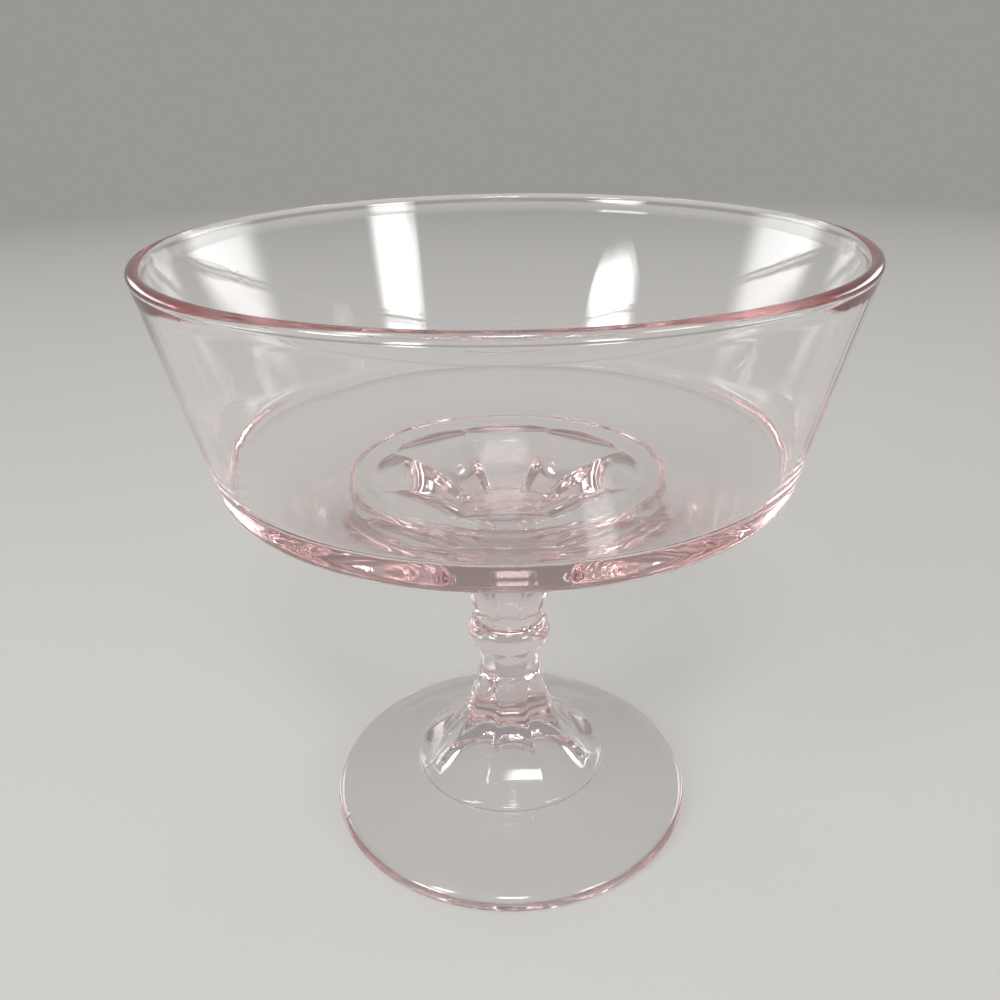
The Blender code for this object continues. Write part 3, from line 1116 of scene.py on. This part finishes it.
@dataclass
class Compote:
    """The whole glass: bowl, knop and standard fused into one closed body."""

    bowl: Bowl
    knop: Knop
    standard: Standard
    marks: PressMarks
    glass: PressedGlass
    name: str = "compote_glass"

    @classmethod
    def from_frame(cls) -> "Compote":
        """A compote with the sizes that the CAD nodes give, in millimetres.

        Returns:
            The compote, not yet built.
        """
        boxes = {name: [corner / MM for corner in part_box(name)] for name in ("bowl", "knop", "standard")}
        bowl = Bowl(boxes["bowl"][1].x, boxes["bowl"][1].z, boxes["bowl"][0].z)
        standard = Standard(boxes["standard"][1].z, boxes["standard"][1].x)
        knop = Knop(boxes["knop"][0].z, boxes["knop"][1].z, bowl.neck_flat, standard.shaft_flat)
        return cls(bowl, knop, standard, PressMarks(), PressedGlass())

    def strips(self, columns: np.ndarray) -> list[Strip]:
        """Every stretch of the outline.

        Args:
            columns: the wedge's column angles.

        Returns:
            The strips from the floor of the bowl round to the hollow under the foot.
        """
        above = math.radians(self.bowl.flute_turn)
        below = math.radians(self.standard.flute_turn)
        return (
            self.bowl.inside(columns, above)
            + self.bowl.outside(columns, above)
            + self.bowl.neck(columns, above)
            + self.knop.strips(columns, above, below)
            + self.standard.pedestal(columns, below)
            + self.standard.foot(columns, below)
        )

    def wedge(self) -> bpy.types.Mesh:
        """Mesh of one flute's wedge, open at its two sides.

        Returns:
            The mesh, with the marks as attributes.
        """
        columns = Wedge().columns()
        strips = self.strips(columns)
        radius = np.vstack([strip.radius for strip in strips])
        height = np.vstack([strip.height for strip in strips])
        turn = np.concatenate([strip.turn for strip in strips])
        angle = columns[None, :] + turn[:, None] - math.pi / 2
        points = np.stack([radius * np.cos(angle), radius * np.sin(angle), height], axis=2)
        inner = points[1:-1]
        across = len(columns)
        # The first and the last row lie on the axis, so each is a single point.
        verts = np.vstack([points[0, :1], inner.reshape(-1, 3), points[-1, :1]]) * MM
        faces = []
        last = len(verts) - 1
        for row in range(len(inner) - 1):
            for column in range(across - 1):
                corner = 1 + row * across + column
                faces.append((corner, corner + across, corner + across + 1, corner + 1))
        for column in range(across - 1):
            end = 1 + (len(inner) - 1) * across + column
            faces.append((0, 1 + column, 2 + column))
            faces.append((last, end + 1, end))
        mesh = bpy.data.meshes.new(self.name)
        mesh.from_pydata(verts.tolist(), [], faces)
        for mark in Mark:
            by_row = np.concatenate([np.full(len(s.turn), s.marks.get(mark, 0.0)) for s in strips])
            values = np.concatenate([[0.0], np.repeat(by_row[1:-1], across), [0.0]])
            mesh.attributes.new(mark.value, "FLOAT", "POINT").data.foreach_set("value", values)
        return mesh

    def build(self) -> bpy.types.Object:
        """Turns the wedge into the closed body, which rides on the frame in place of the CAD nodes.

        Returns:
            The finished piece.
        """
        source = bpy.data.objects.new("wedge", self.wedge())
        bpy.context.scene.collection.objects.link(source)
        tree = self.marks.tree()
        modifier = source.modifiers.new("press", "NODES")
        modifier.node_group = tree
        values = self.marks.values(self.glass.material())
        for item in tree.interface.items_tree:
            if item.in_out == "INPUT" and item.name in values:
                modifier[item.identifier] = values[item.name]
        bpy.context.view_layer.update()
        graph = bpy.context.evaluated_depsgraph_get()
        mesh = bpy.data.meshes.new_from_object(source.evaluated_get(graph), depsgraph=graph)
        mesh.name = self.name
        bpy.data.objects.remove(source)
        body = bmesh.new()
        body.from_mesh(mesh)
        if body.calc_volume(signed=True) < 0:
            bmesh.ops.reverse_faces(body, faces=body.faces)
        open_edges = sum(not edge.is_manifold for edge in body.edges)
        volume = body.calc_volume() / CUBIC_CM
        body.to_mesh(mesh)
        body.free()
        # The shape holds these two by now. The material reads the others.
        for mark in (Mark.WAVE, Mark.SEAM):
            mesh.attributes.remove(mesh.attributes[mark.value])
        piece = bpy.data.objects.new(self.name, mesh)
        bpy.context.scene.collection.objects.link(piece)
        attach(piece, BODY)
        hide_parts("bowl", "knop", "standard")
        count = len(mesh.polygons)
        log.info("%s: %d faces, %d open edges, %.1f cm3", self.name, count, open_edges, volume)
        return piece


@dataclass(frozen=True)
class Softbox:
    """A flat diffused lamp that faces the object and fades towards its edges. Lengths are in metres."""

    name: str
    place: tuple[float, float, float]
    width: float
    height: float
    watts: float
    shape: LampShape = LampShape.RECTANGLE
    fade: float = 0.3
    aim: tuple[float, float, float] = (0.0, 0.0, 0.1)

    def build(self) -> None:
        """Adds the lamp to the scene."""
        lamp = bpy.data.lights.new(self.name, "AREA")
        lamp.shape = self.shape.value
        lamp.size = self.width
        lamp.size_y = self.height
        lamp.energy = self.watts
        lamp.use_nodes = True
        tree = lamp.node_tree
        tree.nodes.clear()
        spot = add_node(tree, "ShaderNodeNewGeometry").outputs["Parametric"]
        axes = add_node(tree, "ShaderNodeSeparateXYZ", {0: spot}).outputs
        level = 1.0
        for axis in ("X", "Y"):
            off = add_node(tree, "ShaderNodeMath", {0: axes[axis], 1: MIDDLE}, operation="SUBTRACT")
            far = add_node(tree, "ShaderNodeMath", {0: off}, operation="ABSOLUTE")
            soft = add_node(
                tree,
                "ShaderNodeMapRange",
                {"Value": far, "From Min": MIDDLE, "From Max": MIDDLE - self.fade},
                interpolation_type="SMOOTHSTEP",
            )
            level = add_node(tree, "ShaderNodeMath", {0: soft, 1: level}, operation="MULTIPLY")
        glow = add_node(tree, "ShaderNodeEmission", {"Strength": level})
        add_node(tree, "ShaderNodeOutputLight", {"Surface": glow})
        item = bpy.data.objects.new(self.name, lamp)
        item.location = self.place
        way = Vector(self.aim) - Vector(self.place)
        item.rotation_euler = way.to_track_quat("-Z", "Y").to_euler()
        bpy.context.scene.collection.objects.link(item)


@dataclass
class Studio:
    """Pale cove, soft lamps and the camera at the photograph's angle."""

    paper: str = "#D2D0CC"
    floor_drop: float = 0.2
    floor_middle: float = 300.0
    floor_radius: float = 2200.0
    floor_steps: int = 4
    bend: float = 900.0
    bend_steps: int = 12
    wall_top: float = 1700.0
    cove_sides: int = 96
    floor_glow: float = 0.55
    far_level: float = 0.5
    fade: Point = (250.0, 1600.0)
    sky: float = 0.32
    eye: tuple[float, float, float] = (-2.235, -280.66, 240.45)
    pitch: float = 0.429
    roll: float = -0.017
    field: float = 973.9 / 1000
    sensor: float = 36.0
    clip_start: float = 5.0
    bounces: int = 96

    def paper_material(self) -> bpy.types.Material:
        """Matte paper that takes shadows, and shows the eye and the glass an even pale level of its own.

        Returns:
            The material, whose level falls from the floor up the wall.
        """
        material = bpy.data.materials.new("matte_paper")
        material.use_nodes = True
        tree = material.node_tree
        tree.nodes.clear()
        colour = linear(self.paper)
        matte = add_node(tree, "ShaderNodeBsdfDiffuse", {"Color": colour})
        place = add_node(tree, "ShaderNodeTexCoord").outputs["Object"]
        away = add_node(tree, "ShaderNodeVectorMath", {0: place}, operation="LENGTH").outputs["Value"]
        near, far = (value * MM for value in self.fade)
        reach = {"Value": away, "From Min": near, "From Max": far}
        level = add_node(tree, "ShaderNodeMapRange", {**reach, "To Min": 1.0, "To Max": self.far_level})
        glow = add_node(tree, "ShaderNodeEmission", {"Color": colour, "Strength": level})
        part = add_node(tree, "ShaderNodeMapRange", {**reach, "To Min": self.floor_glow, "To Max": 1.0})
        rays = add_node(tree, "ShaderNodeLightPath").outputs
        seen = rays["Is Camera Ray"]
        for kind in ("Is Glossy Ray", "Is Transmission Ray"):
            seen = add_node(tree, "ShaderNodeMath", {0: seen, 1: rays[kind]}, operation="MAXIMUM")
        mix = add_node(tree, "ShaderNodeMath", {0: seen, 1: part}, operation="MULTIPLY")
        shader = add_node(tree, "ShaderNodeMixShader", {0: mix, 1: matte, 2: glow})
        add_node(tree, "ShaderNodeOutputMaterial", {"Surface": shader})
        return material

    def cove(self) -> None:
        """A wide round floor of matte paper that bends up into a wall. It lies just clear of the glass."""
        turn = arc((self.floor_radius, self.bend), self.bend, self.bend, -90.0, 0.0, self.bend_steps)
        floor = line((self.floor_middle, 0.0), turn[0], self.floor_steps)[:-1]
        outline = np.vstack([floor, turn, [(turn[-1][0], self.wall_top)]])
        sheet = bmesh.new()
        around = np.linspace(0.0, math.tau, self.cove_sides, endpoint=False)
        rings = []
        for radius, height in outline:
            spots = [(radius * math.cos(a), radius * math.sin(a), height - self.floor_drop) for a in around]
            rings.append([sheet.verts.new(Vector(spot) * MM) for spot in spots])
        sheet.faces.new(rings[0])
        for low, high in zip(rings, rings[1:]):
            for place in range(len(around)):
                after = (place + 1) % len(around)
                sheet.faces.new((low[place], high[place], high[after], low[after])).smooth = True
        bmesh.ops.recalc_face_normals(sheet, faces=sheet.faces)
        mesh = bpy.data.meshes.new("cove")
        sheet.to_mesh(mesh)
        sheet.free()
        mesh.materials.append(self.paper_material())
        cove = bpy.data.objects.new("cove", mesh)
        bpy.context.scene.collection.objects.link(cove)

    def world(self) -> None:
        """An even grey surround above the cove."""
        world = bpy.data.worlds.new("studio")
        bpy.context.scene.world = world
        world.use_nodes = True
        tree = world.node_tree
        tree.nodes.clear()
        back = add_node(tree, "ShaderNodeBackground", {"Color": linear(WHITE), "Strength": self.sky})
        add_node(tree, "ShaderNodeOutputWorld", {"Surface": back})

    def lamps(self) -> None:
        """Lamps like windows at the left and right of the camera, one above it, and two low ones behind."""
        for lamp in (
            Softbox("left_softbox", (-0.88, -0.80, 0.40), 0.5, 0.3, 8.0, LampShape.ELLIPSE),
            Softbox("high_left_softbox", (-0.80, -0.80, 1.02), 0.36, 0.6, 11.0),
            Softbox("right_softbox", (0.82, -0.82, 0.48), 0.45, 0.36, 6.9),
            Softbox("front_softbox", (0.0, -0.88, 1.25), 0.45, 0.5, 12.0),
            Softbox("back_left_softbox", (-1.45, 0.95, 0.42), 1.4, 0.5, 11.0),
            Softbox("back_right_softbox", (1.45, 0.95, 0.42), 1.4, 0.5, 11.0),
        ):
            lamp.build()

    def camera(self) -> None:
        """The camera, placed and turned as the photograph's was."""
        data = bpy.data.cameras.new("camera")
        data.sensor_width = self.sensor
        data.lens = self.field * self.sensor
        data.clip_start = self.clip_start * MM
        item = bpy.data.objects.new("camera", data)
        forward = Vector((0.0, math.cos(self.pitch), -math.sin(self.pitch)))
        level = Vector((1.0, 0.0, 0.0))
        upright = level.cross(forward)
        right = math.cos(self.roll) * level + math.sin(self.roll) * upright
        up = math.cos(self.roll) * upright - math.sin(self.roll) * level
        turn = Matrix((right, up, -forward)).transposed().to_4x4()
        item.matrix_world = Matrix.Translation(Vector(self.eye) * MM) @ turn
        bpy.context.scene.collection.objects.link(item)
        bpy.context.scene.camera = item

    def build(self) -> None:
        """Adds cove, world, lamps and camera, and lets light turn often enough inside thick glass."""
        self.cove()
        self.world()
        self.lamps()
        self.camera()
        scene = bpy.context.scene
        scene.view_settings.view_transform = "Standard"
        scene.cycles.max_bounces = self.bounces
        scene.cycles.glossy_bounces = self.bounces
        scene.cycles.transmission_bounces = self.bounces


def main() -> None:
    """Builds the compote and its studio."""
    logging.basicConfig(level=logging.INFO, format="%(name)s: %(message)s")
    Compote.from_frame().build()
    Studio().build()


if __name__ == "__main__":
    main()
